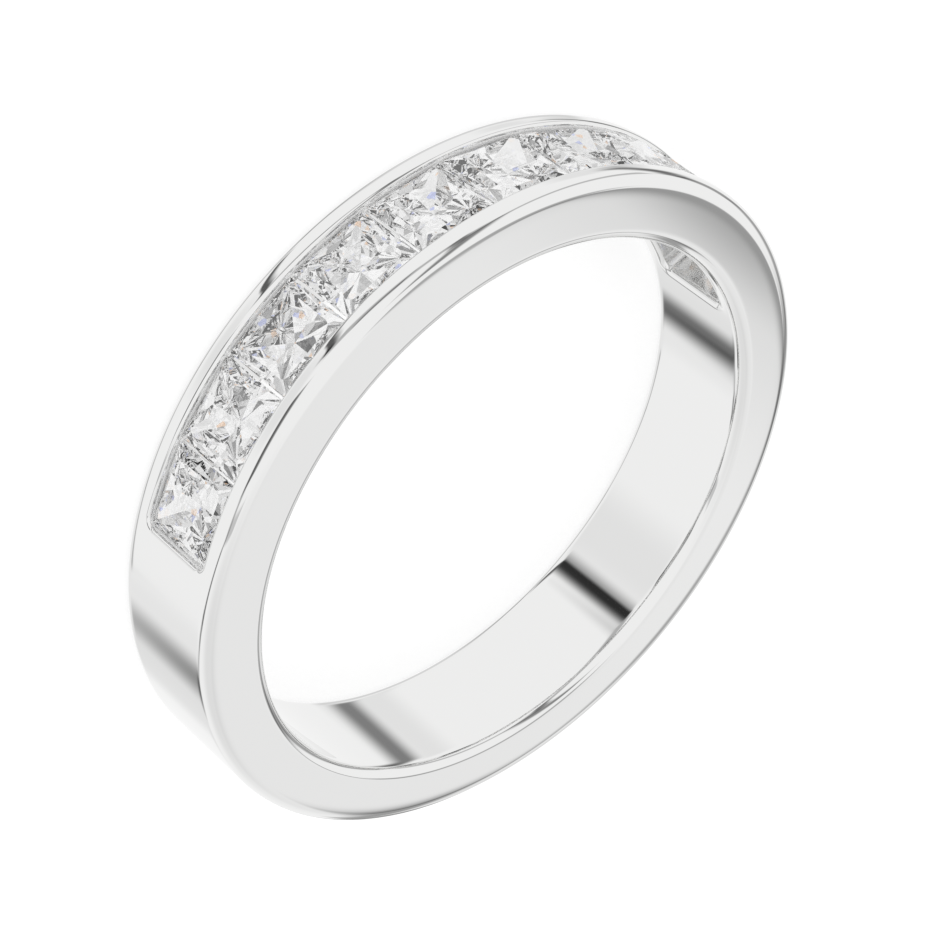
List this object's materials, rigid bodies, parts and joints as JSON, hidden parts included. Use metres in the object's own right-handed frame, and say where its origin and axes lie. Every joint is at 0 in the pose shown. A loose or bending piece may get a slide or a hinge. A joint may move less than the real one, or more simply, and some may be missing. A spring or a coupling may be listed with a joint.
{
  "type": "channel set band",
  "caption": "Plain finger ring with square-cut clear stones held edge to edge in a channel across its top half, lying on its side.",
  "frame": {"origin": "on the finger bore's axis, level with the side face that the ring lies on", "axes": "+Z along the finger bore's axis, up from the side face that the ring lies on; +Y through the middle of the stone row; +X to the right of a viewer who looks down on the ring with the stone row at the far side"},
  "size_m": [0.0214, 0.0212, 0.0038],
  "materials": {
    "white_gold": "polished",
    "diamond": "polished, faceted"
  },
  "bodies": {
    "root": {"band": "white_gold", "stone_1": "diamond", "stone_2": "diamond", "stone_3": "diamond", "stone_4": "diamond", "stone_5": "diamond", "stone_6": "diamond", "stone_7": "diamond", "stone_8": "diamond", "stone_9": "diamond", "stone_10": "diamond"}
  },
  "joints": []
}
